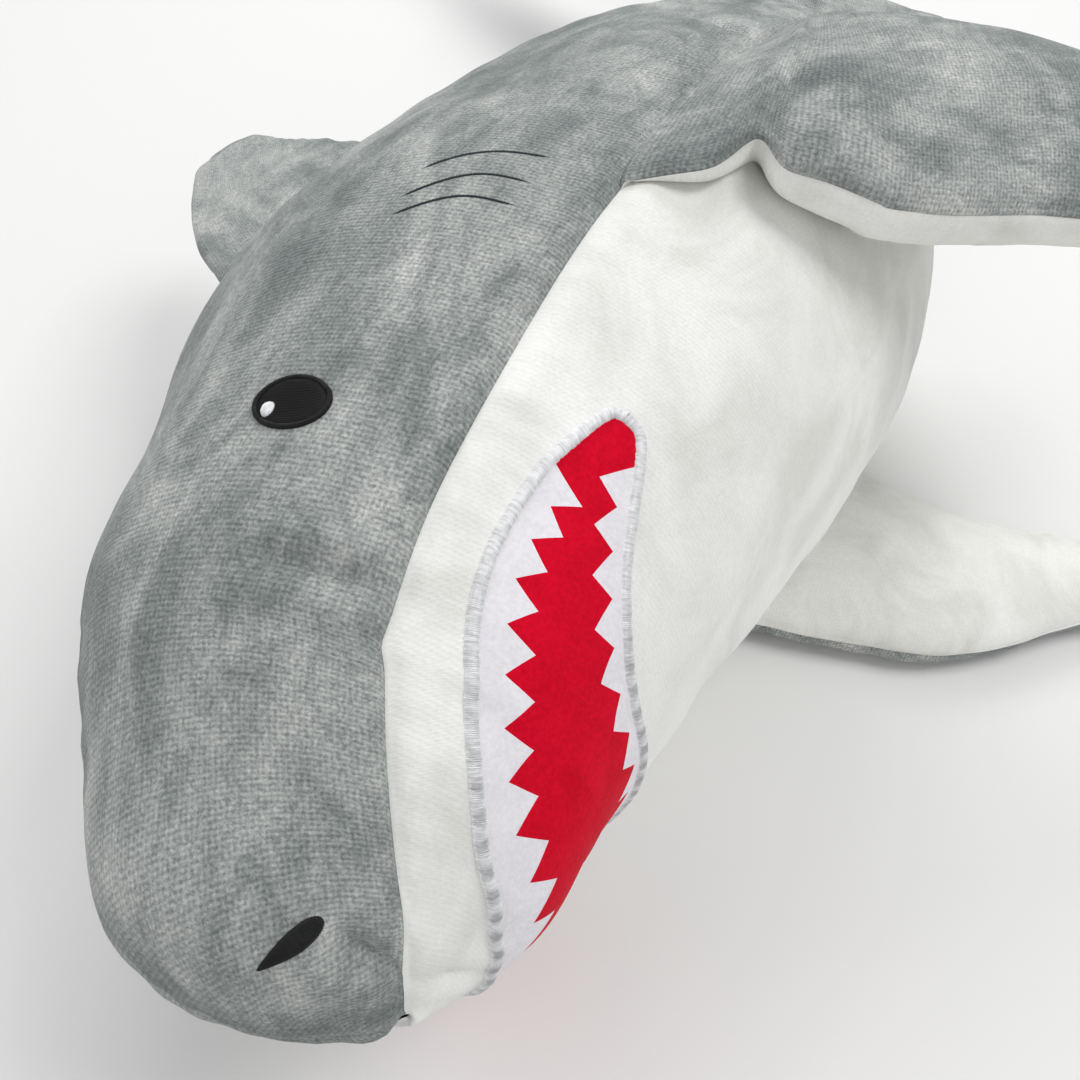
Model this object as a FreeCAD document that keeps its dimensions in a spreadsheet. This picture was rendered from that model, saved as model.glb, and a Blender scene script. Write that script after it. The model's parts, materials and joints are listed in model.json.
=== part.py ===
import FreeCAD, Part
import math
import os

# A stuffed toy shark, lying on its right side.
#
# Every sub-part is drawn in the shark's own frame, in millimetres: X runs from the snout to
# the tail, Z from the belly to the back, and Y out of the shark's right side.  The finished
# sub-parts are then laid down together, so that the row's +Y runs from the snout to the tail,
# +Z is up, and the origin is at the middle of the box, on the surface the shark lies on.

doc = FreeCAD.newDocument("PlushShark")
sheet = doc.addObject("Spreadsheet::Sheet", "Dimensions")

SIZES = {
    "cloth": 2,              # thickness of the plush cloth, pile included
    "clearance": 1.5,        # gap between bodies that flex against each other
    "reach": 1000,           # size of the blocks that divide the shark, larger than the shark
    "roll_deg": 13,          # how far the back leans up from lying flat on the side
    "pitch_deg": -2,         # the tail end lies a little lower than the snout
    "axis_rise": 90,         # height of the snout's axis above the floor
    "print_height": 1,       # printed mouth cloth above the belly cloth
    "stitch_height": 2,      # satin stitches above the cloth
    "border_width": 5,       # satin border round the mouth
    "gill_width": 1.6,
    "eye_length": 13,
    "eye_girth": 18,
    "eye_x": 102,
    "eye_angle_deg": 30,     # above the side, seen along the body
    "glint_radius": 2.2,
    "nostril_length": 14,
    "nostril_radius": 2.6,
    "nostril_x": 10,
    "nostril_angle_deg": -14,
    "tail_x": 440,           # where the tail bends, in side view
    "tail_z": -26,
    "tail_radius": 60,
    "tail_swing_deg": 10,
    "caudal_x": 578,         # where the tail fin flexes
    "caudal_radius": 12,
    "caudal_lift_deg": 25,
    "seam_shift": 0.4,       # a fin's edge seam lies a little off its middle plane
    "dorsal_x": 188,         # front of the dorsal fin's foot, on the ridge of the back
    "dorsal_z": 106.5,
    "dorsal_slope_deg": 12,  # how steeply the back falls towards the tail there
    "dorsal_droop_deg": 25,
    "pectoral_y": 103,       # foot of the left pectoral fin, at the side seam
    "left_lift_deg": 6,      # the left pectoral leans out from the side
    "left_fall_deg": 8,      # how far it can sink towards the belly
    "left_raise_deg": 20,    # how far it can be raised from the belly
    "left_sweep_deg": 14,    # the left pectoral lies swept back, the right one forward
    "right_sweep_deg": -6,
    "right_rise": 11,        # middle of the right pectoral above the floor
    "right_foot": -22,       # its seam, under the body, measured from the body's middle
    "right_free": 74,        # where that fin comes free of the body
    "right_lift_deg": 12,    # how far it can be lifted from the floor
    "pectoral_middle": 243,  # middle of a pectoral fin's foot, from the snout
}

# Round sections of the body: distance from the snout, back height, belly depth, half width.
BODY = [
    (0, 27, -7, 10),
    (3, 36, 2, 19),
    (8, 46, 12, 28.5),
    (25, 59, 34, 40),
    (60, 82, 50, 61),
    (110, 96, 65, 80),
    (170, 106, 86, 95),
    (240, 96, 108, 101),
    (310, 80, 118, 93),
    (380, 51, 106, 78),
    (450, 28, 80, 53),
    (520, 17, 47, 31),
    (580, 15, 21, 17),
]

# Fin sections: distance out from the foot, front edge, rear edge, half thickness.
DORSAL = [
    (5, 4, 124, 5),
    (20, 15, 123, 9),
    (40, 29, 122, 10),
    (60, 48, 122, 9),
    (76, 67, 121, 8),
    (88, 90, 121, 6),
    (95, 105, 119, 4),
]
PECTORAL = [
    (0, 182, 306, 9),
    (30, 188, 309, 12),
    (60, 195, 311, 14),
    (100, 204, 306, 14),
    (141, 211, 298, 13),
    (176, 220, 296, 12),
    (201, 237, 298, 10),
    (224, 260, 302, 8),
    (246, 282, 304, 4),
]
CAUDAL = [
    (-250, 684, 706, 4),
    (-215, 660, 703, 8),
    (-170, 628, 688, 10),
    (-110, 594, 664, 12),
    (-50, 568, 647, 13),
    (-5, 556, 641, 13),
    (40, 566, 645, 13),
    (90, 594, 660, 12),
    (140, 634, 688, 10),
    (175, 674, 716, 7),
    (195, 706, 732, 4),
]

# Side-view curves, as (x, z) points that a smooth curve passes through.
BELLY_SEAM = [(13, -17), (25, -7), (45, 7), (60, 14), (110, 17), (170, 11), (240, -3),
              (310, -18), (380, -34), (450, -50), (520, -38), (562, -26)]
MOUTH_EDGE = [(25, -44), (31, -26), (45, -12), (63, -3), (85, 2), (109, -3), (122, -12),
              (116, -20), (94, -28), (80, -39), (74, -60)]
GILLS = [
    [(176, 54), (185, 42), (188, 27)],
    [(164, 57), (174, 45), (176, 29)],
    [(154, 58), (163, 47), (166, 29)],
]


def fill_sheet():
    """Write every driving dimension into the sheet, with its name as the cell's alias."""
    rows = dict(SIZES)
    tables = {"body": BODY, "dorsal": DORSAL, "pectoral": PECTORAL, "caudal": CAUDAL}
    columns = {"body": ("x", "back", "belly", "width")}
    for table, sections in tables.items():
        names = columns.get(table, ("out", "front", "rear", "thick"))
        for number, section in enumerate(sections):
            for name, value in zip(names, section):
                rows[f"{table}_{name}_{number}"] = value
    for row, (alias, value) in enumerate(rows.items(), start=1):
        sheet.set(f"A{row}", alias)
        sheet.set(f"B{row}", str(value))
        sheet.setAlias(f"B{row}", alias)
    doc.recompute()


def size(alias):
    return float(sheet.get(alias))


def make(kind, name, placement=None, **bound):
    """One document object, with its sizes bound to expressions on the sheet."""
    item = doc.addObject(kind, name)
    if placement is not None:
        item.Placement = placement
    for prop, expression in bound.items():
        item.setExpression(prop.replace("_base_", ".Base."), expression)
    return item


def cut(name, base, tool):
    item = doc.addObject("Part::Cut", name)
    item.Base = base
    item.Tool = tool
    return item


def common(name, base, tool):
    item = doc.addObject("Part::Common", name)
    item.Base = base
    item.Tool = tool
    return item


def fuse(name, base, tool):
    item = doc.addObject("Part::Fuse", name)
    item.Base = base
    item.Tool = tool
    return item


def turn(axis, degrees):
    return FreeCAD.Placement(FreeCAD.Vector(0, 0, 0), FreeCAD.Rotation(axis, degrees))


def move(x, y, z):
    return FreeCAD.Placement(FreeCAD.Vector(x, y, z), FreeCAD.Rotation())


def turned_about(point, axis, degrees):
    """Rotation about an axis that passes through the given point."""
    there = FreeCAD.Placement(point, FreeCAD.Rotation())
    return there * turn(axis, degrees) * there.inverse()


ALONG = FreeCAD.Vector(1, 0, 0)
ACROSS = FreeCAD.Vector(0, 1, 0)
UPWARD = FreeCAD.Vector(0, 0, 1)

fill_sheet()

# How the shark lies: on its right side, the back leaning up by the roll, the tail along +Y.
lie_down = (move(0, 0, size("axis_rise")) * turn(ALONG, size("pitch_deg"))
            * turn(UPWARD, 90) * turn(ALONG, size("roll_deg") - 90))


def half_block(name, side, axis, placement=None):
    """A large block on one side (+1 or -1) of the plane through the origin across an axis."""
    frame = placement or FreeCAD.Placement()
    reach = size("reach")
    corner = FreeCAD.Vector(-reach, -reach, -reach)
    corner[axis] = 0 if side > 0 else -2 * reach
    return make("Part::Box", name, frame * move(*corner), Length="Dimensions.reach * 2",
                Width="Dimensions.reach * 2", Height="Dimensions.reach * 2")


def body_loft(name, proud):
    """The body's smooth round form, grown outwards by an expression (negative: shrunk)."""
    sections = []
    for number in range(len(BODY)):
        back = f"Dimensions.body_back_{number}"
        belly = f"Dimensions.body_belly_{number}"
        grow = {0: f" - ({proud})", len(BODY) - 1: f" + ({proud})"}.get(number, "")
        section = make("Part::Ellipse", f"{name}_section_{number}", turn(ACROSS, -90),
                       MajorRadius=f"({back} + {belly}) / 2 + ({proud})",
                       MinorRadius=f"Dimensions.body_width_{number} + ({proud})",
                       Placement_base_x=f"Dimensions.body_x_{number}{grow}",
                       Placement_base_z=f"({back} - {belly}) / 2")
        sections.append(section)
    loft = make("Part::Loft", name)
    loft.Sections = sections
    loft.Solid = True
    return loft


def fin_loft(name, table, count, proud, placement):
    """A fin's padded form: ellipses across its length, drawn out along its own Z."""
    sections = []
    for number in range(count):
        front = f"Dimensions.{table}_front_{number}"
        rear = f"Dimensions.{table}_rear_{number}"
        ends = {0: f" - ({proud})", count - 1: f" + ({proud})"}.get(number, "")
        section = make("Part::Ellipse", f"{name}_section_{number}",
                       MajorRadius=f"({rear} - {front}) / 2 + ({proud})",
                       MinorRadius=f"Dimensions.{table}_thick_{number} + ({proud})",
                       Placement_base_x=f"({front} + {rear}) / 2",
                       Placement_base_z=f"Dimensions.{table}_out_{number}{ends}")
        sections.append(section)
    loft = make("Part::Loft", name, placement)
    loft.Sections = sections
    loft.Solid = True
    return loft


def side_prism(name, outline):
    """A side-view outline, pushed out to both sides of the shark."""
    face = Part.Face(outline)
    width = 2 * size("reach")
    prism = doc.addObject("Part::Feature", name)
    prism.Shape = face.extrude(FreeCAD.Vector(0, width, 0))
    prism.Placement = move(0, -width / 2, 0)
    return prism


def smooth_outline(points, corners):
    """A closed wire: a smooth curve through the points, then straight runs to the corners."""
    places = [FreeCAD.Vector(x, 0, z) for x, z in points]
    curve = Part.BSplineCurve()
    curve.interpolate(places)
    ends = [places[-1]] + [FreeCAD.Vector(x, 0, z) for x, z in corners] + [places[0]]
    runs = [Part.LineSegment(start, end).toShape() for start, end in zip(ends, ends[1:])]
    return Part.Wire([curve.toShape()] + runs)


def grown(points, distance):
    """The same outline, drawn clockwise, with each point moved outwards by a distance."""
    moved = []
    for number, (x, z) in enumerate(points):
        before = points[max(number - 1, 0)]
        after = points[min(number + 1, len(points) - 1)]
        run = FreeCAD.Vector(after[0] - before[0], after[1] - before[1], 0).normalize()
        moved.append((x - run.y * distance, z + run.x * distance))
    return moved


# The body's nested forms: stuffing, cloth, embroidery, and the room kept for the fins.
stuffing_form = body_loft("stuffing_form", "-Dimensions.cloth")
cloth_form = body_loft("cloth_form", "0")
print_form = body_loft("print_form", "Dimensions.print_height")
stitch_form = body_loft("stitch_form", "Dimensions.stitch_height")
room_form = body_loft("room_form", "Dimensions.clearance")
inner_room_form = body_loft("inner_room_form", "Dimensions.clearance + Dimensions.cloth")

# The floor presses a flat under the body; the cloth there keeps its thickness.
floor_block = half_block("floor_block", -1, 2, lie_down.inverse())
inner_floor_block = half_block("inner_floor_block", -1, 2,
                               lie_down.inverse() * move(0, 0, size("cloth")))
left_block = half_block("left_block", -1, 1)
right_block = half_block("right_block", 1, 1)

pressed_cloth = cut("pressed_cloth", cloth_form, floor_block)
pressed_stuffing = cut("pressed_stuffing", stuffing_form, inner_floor_block)
body_skin = cut("body_skin", pressed_cloth, pressed_stuffing)

# The belly panel lies below the side seams, which meet under the snout and under the tail.
belly_block = side_prism("belly_block", smooth_outline(BELLY_SEAM, [(562, -300), (13, -300)]))
belly_skin = common("belly_skin", body_skin, belly_block)
back_skin = cut("back_skin", body_skin, belly_block)
back_skin_left = common("back_skin_left", back_skin, left_block)
back_skin_right = common("back_skin_right", back_skin, right_block)


def barrel(name, axis, x, z, radius):
    """A long cylinder about a hinge axis, for the rounded end that turns in a hollow one."""
    reach = size("reach")
    placement = move(0, 0, -reach)
    if axis is ACROSS:
        placement = move(0, reach, 0) * turn(ALONG, 90)
    item = make("Part::Cylinder", name, placement, Radius=radius,
                Height="Dimensions.reach * 2", Placement_base_x=x)
    if z is not None:
        item.setExpression("Placement.Base.z", z)
    return item


def block_between(name, start, end):
    """A wide block from one distance along the body to another."""
    reach = size("reach")
    return make("Part::Box", name, move(0, -reach, -reach), Length=f"({end}) - ({start})",
                Width="Dimensions.reach * 2", Height="Dimensions.reach * 2",
                Placement_base_x=start)


# The tail bends where a rounded end sits in the torso's hollow end.
tail_barrel = barrel("tail_barrel", ACROSS, "Dimensions.tail_x", "Dimensions.tail_z",
                     "Dimensions.tail_radius")
tail_hollow = barrel("tail_hollow", ACROSS, "Dimensions.tail_x", "Dimensions.tail_z",
                     "Dimensions.tail_radius + Dimensions.clearance")
torso_end = ("Dimensions.tail_x - Dimensions.clearance"
             " - Dimensions.tail_radius * sin(Dimensions.tail_swing_deg * 1deg)")
torso_block = block_between("torso_block", "-100", torso_end)
torso_region = cut("torso_region", torso_block, tail_hollow)

# The tail fin flexes in the same way, from side to side, at the end of the stem.
caudal_barrel = barrel("caudal_barrel", UPWARD, "Dimensions.caudal_x", None,
                       "Dimensions.caudal_radius")
caudal_hollow = barrel("caudal_hollow", UPWARD, "Dimensions.caudal_x", None,
                       "Dimensions.caudal_radius + Dimensions.clearance")
stem_end = ("Dimensions.caudal_x - Dimensions.clearance"
            " - Dimensions.caudal_radius * sin(Dimensions.caudal_lift_deg * 1deg)")
stem_block = block_between("stem_block", "Dimensions.tail_x", stem_end)
stem_solid = fuse("stem_solid", tail_barrel, stem_block)
tail_region = cut("tail_region", stem_solid, caudal_hollow)
stem_side = cut("stem_side", block_between("before_caudal", "0", "Dimensions.caudal_x"),
                caudal_barrel)

nodes = {}


def body_panels():
    """Back, belly and stuffing of the torso, and the same for the tail's stem."""
    for part, region in (("torso", torso_region), ("tail", tail_region)):
        nodes[f"{part}_back_panel_left"] = common(f"{part}_left", back_skin_left, region)
        nodes[f"{part}_back_panel_right"] = common(f"{part}_right", back_skin_right, region)
        nodes[f"{part}_belly_panel"] = common(f"{part}_belly", belly_skin, region)
        nodes[f"{part}_stuffing"] = common(f"{part}_core", pressed_stuffing, region)


def padded_fin(name, table, placement, rooms, inner_rooms, panel_names):
    """Two cloth panels and their stuffing, cut back where the fin clears its neighbours."""
    count = len({"dorsal": DORSAL, "pectoral": PECTORAL, "caudal": CAUDAL}[table])
    form = fin_loft(f"{name}_form", table, count, "0", placement)
    core = fin_loft(f"{name}_core_form", table, count, "-Dimensions.cloth", placement)
    middle = placement * move(0, size("seam_shift"), 0)
    for panel_name, side in zip(panel_names, (-1, 1)):
        block = half_block(f"{panel_name}_side", side, 1, middle)
        half = common(f"{panel_name}_half", form, block)
        half_core = common(f"{panel_name}_half_core", core, block)
        nodes[panel_name] = cut(f"{panel_name}_cloth", trimmed(f"{panel_name}_shell", half, rooms),
                                trimmed(f"{panel_name}_hollow", half_core, inner_rooms))
    nodes[f"{name}_stuffing"] = trimmed(f"{name}_core", core, inner_rooms)


def trimmed(name, base, rooms):
    """A fin's form, cut back by the room of each neighbour."""
    for number, room in enumerate(rooms):
        base = cut(f"{name}_{number}", base, room)
    return base


def moved_copy(name, source, placement):
    """A second copy of a form, turned to where it stands when a fin is at a limit."""
    copy = doc.addObject("Part::Compound", name)
    copy.Links = [source]
    copy.Placement = placement
    return copy


def dorsal_frame():
    """The dorsal fin stands on the ridge of the back, drooping towards the lower side."""
    ridge = move(size("dorsal_x"), 0, size("dorsal_z")) * turn(ACROSS, size("dorsal_slope_deg"))
    return ridge * turn(ALONG, -size("dorsal_droop_deg"))


def dorsal_fin():
    """The fin on the back; its foot stays a little clear of the ridge, so it can flex."""
    padded_fin("dorsal_fin", "dorsal", dorsal_frame(), [floor_block], [inner_floor_block],
               ("dorsal_fin_left_panel", "dorsal_fin_right_panel"))


def swept(frame, degrees):
    """A pectoral fin's frame, turned in the fin's own plane about the middle of its foot."""
    return frame * turned_about(FreeCAD.Vector(size("pectoral_middle"), 0, 0), ACROSS, degrees)


def left_pectoral_frame():
    """The left pectoral stands out from the upper side seam, over the belly."""
    return move(0, -size("pectoral_y"), 0) * turn(ALONG, 180 - size("left_lift_deg"))


def left_pectoral_fin():
    """The fin over the belly, clear of the body at both ends of its travel."""
    frame = left_pectoral_frame()
    rooms, inner_rooms = [room_form], [inner_room_form]
    for name, degrees in (("fallen", -size("left_fall_deg")), ("raised", size("left_raise_deg"))):
        turned = turned_about(frame.Base, ALONG, degrees)
        rooms.append(moved_copy(f"left_{name}_room", room_form, turned))
        inner_rooms.append(moved_copy(f"left_{name}_inner_room", inner_room_form, turned))
    padded_fin("left_pectoral_fin", "pectoral", swept(frame, size("left_sweep_deg")), rooms,
               inner_rooms, ("left_pectoral_fin_under_panel", "left_pectoral_fin_top_panel"))


def right_pectoral_frame(distance):
    """The right pectoral lies level on the floor: its frame, at a distance from the middle."""
    level = FreeCAD.Rotation(FreeCAD.Vector(1, 1, 1), 120)
    foot = FreeCAD.Vector(distance, 0, size("right_rise"))
    return lie_down.inverse() * FreeCAD.Placement(foot, level)


def right_pectoral_fin():
    """The fin on the floor, from where it comes free of the body that pins its foot."""
    frame = right_pectoral_frame(size("right_foot"))
    hinge = right_pectoral_frame(size("right_free"))
    lifted = hinge * turn(ALONG, size("right_lift_deg")) * hinge.inverse()
    pinned = half_block("right_pinned", -1, 2, hinge * move(0, 0, -2 * size("clearance")))
    inner_pinned = half_block("right_inner_pinned", -1, 2, hinge)
    rooms = [room_form, moved_copy("right_room", room_form, lifted), pinned, floor_block]
    inner_rooms = [inner_room_form, moved_copy("right_inner_room", inner_room_form, lifted),
                   inner_pinned, inner_floor_block]
    padded_fin("right_pectoral_fin", "pectoral", swept(frame, size("right_sweep_deg")), rooms,
               inner_rooms, ("right_pectoral_fin_top_panel", "right_pectoral_fin_under_panel"))


def caudal_fin():
    """The tail fin: two lobes in the shark's middle plane."""
    padded_fin("caudal_fin", "caudal", FreeCAD.Placement(), [stem_side, floor_block],
               [stem_side, inner_floor_block],
               ("caudal_fin_left_panel", "caudal_fin_right_panel"))


def mouth():
    """The printed mouth cloth under the head, with a satin border stitched round its edge."""
    half_border = size("border_width") / 2
    outer_block = side_prism("mouth_outer_block", smooth_outline(grown(MOUTH_EDGE, half_border), []))
    inner_block = side_prism("mouth_inner_block", smooth_outline(grown(MOUTH_EDGE, -half_border), []))
    print_layer = cut("print_layer", cut("print_skin", print_form, cloth_form), floor_block)
    stitch_layer = cut("stitch_layer", cut("stitch_skin", stitch_form, cloth_form), floor_block)
    border_block = cut("border_block", outer_block, inner_block)
    nodes["mouth_print"] = common("mouth_print_cloth", print_layer, inner_block)
    nodes["mouth_border_stitching"] = common("mouth_border", stitch_layer, border_block)
    return stitch_layer


def surface_frame(x, angle, side):
    """A frame on the body's skin: X tailward, Y round the body towards the back, Z outwards."""
    heights = [(row[0], (row[1] - row[2]) / 2) for row in BODY]
    for (start, low), (end, high) in zip(heights, heights[1:]):
        if start <= x <= end:
            middle = low + (high - low) * (x - start) / (end - start)
    outward = FreeCAD.Vector(0, side * math.cos(math.radians(angle)), math.sin(math.radians(angle)))
    tailward = FreeCAD.Vector(1, 0, 0)
    rotation = FreeCAD.Rotation(tailward, outward.cross(tailward), outward, "ZXY")
    return FreeCAD.Placement(FreeCAD.Vector(x, 0, middle), rotation)


def embroidery(stitch_layer):
    """Eyes with a glint, nostrils and gill lines, the same on both sides."""
    half_eye = "Dimensions.eye_girth / 2"
    patch_layer = cut("patch_layer", cut("patch_skin", print_form, cloth_form), floor_block)
    for name, side in (("left", -1), ("right", 1)):
        frame = surface_frame(size("eye_x"), size("eye_angle_deg"), side)
        eye_face = make("Part::Ellipse", f"eye_outline_{name}", frame * turn(UPWARD, 90),
                        MajorRadius=half_eye, MinorRadius="Dimensions.eye_length / 2")
        eye_block = push_out(f"eye_block_{name}", eye_face, frame)
        glint_place = frame * move(-size("eye_length") / 5, size("eye_girth") / 5, 0)
        glint_block = make("Part::Cylinder", f"glint_block_{name}", glint_place,
                           Radius="Dimensions.glint_radius", Height="Dimensions.reach")
        eye_cloth = common(f"eye_cloth_{name}", patch_layer, eye_block)
        nodes[f"eye_{name}"] = cut(f"eye_disc_{name}", eye_cloth, glint_block)
        nodes[f"eye_glint_{name}"] = common(f"glint_disc_{name}", stitch_layer, glint_block)
        nodes[f"nostril_{name}"] = common(f"nostril_patch_{name}", patch_layer,
                                          nostril_block(name, side))
        nodes[f"gill_stitches_{name}"] = gill_lines(name, side, patch_layer)


def push_out(name, outline, frame):
    """A solid made by pushing a flat outline outwards along its frame's own Z."""
    block = make("Part::Extrusion", name, None, LengthFwd="Dimensions.reach")
    block.Base = outline
    block.DirMode = "Custom"
    block.Dir = frame.Rotation.multVec(UPWARD)
    block.Solid = True
    return block


def nostril_block(name, side):
    """A teardrop: a round end towards the tail, drawn to a point towards the snout."""
    radius = size("nostril_radius")
    length = size("nostril_length") - radius
    tangent = math.asin(radius / length)
    touch = FreeCAD.Vector(-radius * math.sin(tangent), radius * math.cos(tangent), 0)
    mirrored = FreeCAD.Vector(touch.x, -touch.y, 0)
    point = FreeCAD.Vector(-length, 0, 0)
    outline = Part.Wire([
        Part.LineSegment(point, touch).toShape(),
        Part.Arc(touch, FreeCAD.Vector(radius, 0, 0), mirrored).toShape(),
        Part.LineSegment(mirrored, point).toShape(),
    ])
    frame = surface_frame(size("nostril_x"), size("nostril_angle_deg"), side)
    block = doc.addObject("Part::Feature", f"nostril_block_{name}")
    block.Shape = Part.Face(outline).extrude(FreeCAD.Vector(0, 0, size("reach")))
    block.Placement = frame * turn(UPWARD, -20) * move(length / 2, 0, 0)
    return block


def gill_lines(name, side, layer):
    """Three bowed lines of thread behind the eye."""
    depth = side * size("reach")
    strips = []
    for start, middle, end in GILLS:
        ends = [FreeCAD.Vector(x, 0, z) for x, z in (start, middle, end)]
        arc = Part.Wire([Part.Arc(*ends).toShape()])
        strip = arc.makeOffset2D(size("gill_width") / 2, openResult=False, fill=False)
        strips.append(Part.Face(strip).extrude(FreeCAD.Vector(0, depth, 0)))
    block = doc.addObject("Part::Feature", f"gill_block_{name}")
    block.Shape = Part.makeCompound(strips)
    return common(f"gill_{name}", layer, block)


body_panels()
dorsal_fin()
left_pectoral_fin()
right_pectoral_fin()
caudal_fin()
embroidery(mouth())
for node, item in nodes.items():
    item.Label = node
doc.recompute()


def check_objects():
    """Stop on any failed object, and on any sub-part that isn't a valid solid."""
    failed = [item.Label for item in doc.Objects
              if "Invalid" in item.State or "Error" in item.State]
    failed += [node for node, item in nodes.items()
               if item.Shape.isNull() or not item.Shape.isValid() or not item.Shape.Solids]
    if failed:
        raise RuntimeError("failed: " + ", ".join(failed))


def whole_box():
    """The box round every sub-part once the shark lies down."""
    box = FreeCAD.BoundBox()
    for item in nodes.values():
        shape = item.Shape.copy()
        shape.Placement = lie_down * shape.Placement
        box.add(shape.optimalBoundingBox(True))
    return box


check_objects()
box = whole_box()
rest_place = move(-box.Center.x, -box.Center.y, -box.ZMin) * lie_down
for item in nodes.values():
    item.Placement = rest_place
doc.recompute()
check_objects()


def write_parts():
    """Write each sub-part to its own file."""
    os.makedirs("parts", exist_ok=True)
    for node, item in nodes.items():
        shape = item.Shape
        shape.exportStep(f"parts/{node}.step")
        print(f"{node}: {len(shape.Solids)} solid(s), {shape.Volume / 1000:.1f} cm3")


def print_frame():
    """The snout and each hinge in the row's frame: a point in metres and the axis."""
    hinges = (
        ("snout", FreeCAD.Placement(), 0, ALONG),
        ("tail_bend", move(0, 0, size("tail_z")), size("tail_x"), -ACROSS),
        ("caudal_flex", FreeCAD.Placement(), size("caudal_x"), -UPWARD),
        ("dorsal_flex", dorsal_frame() * move(0, 0, DORSAL[0][0]), 62, ALONG),
        ("left_pectoral_flex", left_pectoral_frame(), size("pectoral_middle"), -ALONG),
        ("right_pectoral_flex", right_pectoral_frame(size("right_free")),
         size("pectoral_middle"), -ALONG),
    )
    for name, frame, x, axis in hinges:
        place = rest_place * frame * FreeCAD.Vector(x, 0, 0) / 1000
        direction = axis
        if frame.Rotation.Angle and abs(axis.x) > 0:
            direction = frame.Rotation.multVec(axis)
        direction = rest_place.Rotation.multVec(direction)
        print(name, [round(value, 4) for value in place], [round(value, 5) for value in direction])
    print("box", [round(v, 1) for v in (box.XLength, box.YLength, box.ZLength)])


write_parts()
print_frame()
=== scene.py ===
import json
import math

import bpy
import numpy as np
from mathutils import Matrix, Vector
from mathutils.bvhtree import BVHTree


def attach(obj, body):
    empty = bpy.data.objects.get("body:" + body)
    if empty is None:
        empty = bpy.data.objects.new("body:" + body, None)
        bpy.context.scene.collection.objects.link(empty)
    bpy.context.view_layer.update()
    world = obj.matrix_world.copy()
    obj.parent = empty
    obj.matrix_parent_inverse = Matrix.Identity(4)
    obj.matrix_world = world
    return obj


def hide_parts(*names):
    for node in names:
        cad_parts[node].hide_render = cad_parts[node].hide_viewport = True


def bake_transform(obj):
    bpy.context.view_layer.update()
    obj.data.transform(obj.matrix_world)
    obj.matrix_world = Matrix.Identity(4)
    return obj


# A stuffed toy shark lying on its right side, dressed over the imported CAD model.
#
# Shapes are worked out in the shark's own frame, in metres: first number tailward from the
# snout, second out of the shark's left side, third from the belly towards the back.

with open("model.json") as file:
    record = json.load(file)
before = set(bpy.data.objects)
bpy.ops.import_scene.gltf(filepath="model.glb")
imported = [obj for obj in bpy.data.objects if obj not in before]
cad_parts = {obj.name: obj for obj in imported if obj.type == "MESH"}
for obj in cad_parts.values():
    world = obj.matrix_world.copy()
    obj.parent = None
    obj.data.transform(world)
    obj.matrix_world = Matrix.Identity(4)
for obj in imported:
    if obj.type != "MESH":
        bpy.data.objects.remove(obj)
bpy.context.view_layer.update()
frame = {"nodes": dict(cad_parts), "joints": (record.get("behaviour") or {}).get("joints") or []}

MM = 0.001
joints = {joint["name"]: joint for joint in frame["joints"]}


# ---- the shark's frame

def unit(vector):
    """The direction of one vector, or of each vector in an array."""
    vector = np.asarray(vector, float)
    return vector / np.maximum(np.linalg.norm(vector, axis=-1, keepdims=True), 1e-12)


CAUDAL_HINGE = 578 * MM
LEFT = unit(joints["tail_bend"]["axis"])
UP = -unit(joints["caudal_flex"]["axis"])
TAILWARD = np.cross(UP, LEFT)
SHARK_AXES = np.array([TAILWARD, LEFT, UP])
SNOUT = np.array(joints["caudal_flex"]["pos_m"]) - CAUDAL_HINGE * TAILWARD


def to_row(points):
    """Shark-frame points in the row's frame."""
    return SNOUT + np.asarray(points, float) @ SHARK_AXES


def to_shark(points):
    """Row-frame points in the shark's frame."""
    return (np.asarray(points, float) - SNOUT) @ SHARK_AXES.T


def hinge(name):
    """A joint's point, in the row's frame."""
    return np.array(joints[name]["pos_m"], float)


# ---- numbers along lines

def along(values, places, closed=False):
    """A smooth curve through the values (first axis), read at fractional places."""
    values = np.asarray(values, float)
    places = np.asarray(places, float)
    count = len(values)
    base = np.floor(places).astype(int)
    if not closed:
        base = np.clip(base, 0, count - 2)
    part = (places - base).reshape(places.shape + (1,) * (values.ndim - 1))
    picked = []
    for step in (-1, 0, 1, 2):
        index = base + step
        if closed:
            picked.append(values[index % count])
            continue
        inside = values[np.clip(index, 0, count - 1)]
        low = (index < 0).reshape(part.shape)
        high = (index > count - 1).reshape(part.shape)
        inside = np.where(low, 2 * values[0] - values[1], inside)
        picked.append(np.where(high, 2 * values[-1] - values[-2], inside))
    before, start, end, after = picked
    return start + 0.5 * part * (end - before + part * (
        2 * before - 5 * start + 4 * end - after + part * (3 * (start - end) + after - before)))


def smooth(values, rounds, closed=False):
    """Values evened out along the first axis; open ends stay where they are."""
    values = np.array(values, float)
    for _ in range(rounds):
        ahead, behind = np.roll(values, -1, 0), np.roll(values, 1, 0)
        if not closed:
            ahead[-1], behind[0] = 2 * values[-1] - values[-2], 2 * values[0] - values[1]
        values = (ahead + behind + 2 * values) / 4
    return values


def middle_of_five(values):
    """A running median along the first axis, which drops single bad readings."""
    padded = np.concatenate([values[:1]] * 2 + [values] + [values[-1:]] * 2)
    stack = np.stack([padded[step:step + len(values)] for step in range(5)])
    return np.median(stack, axis=0)


def ripple(points, wavelength, seed, waves=18):
    """Soft random hills of about one wavelength, between roughly -1 and 1."""
    chance = np.random.default_rng(seed)
    points = np.asarray(points, float)
    total = np.zeros(points.shape[:-1])
    for _ in range(waves):
        direction = unit(chance.normal(size=points.shape[-1]))
        stretch = chance.uniform(0.7, 1.5)
        phase = chance.uniform(0, 2 * math.pi)
        total += np.sin(points @ direction * (2 * math.pi * stretch / wavelength) + phase)
    return total / math.sqrt(waves) * 0.8


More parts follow.
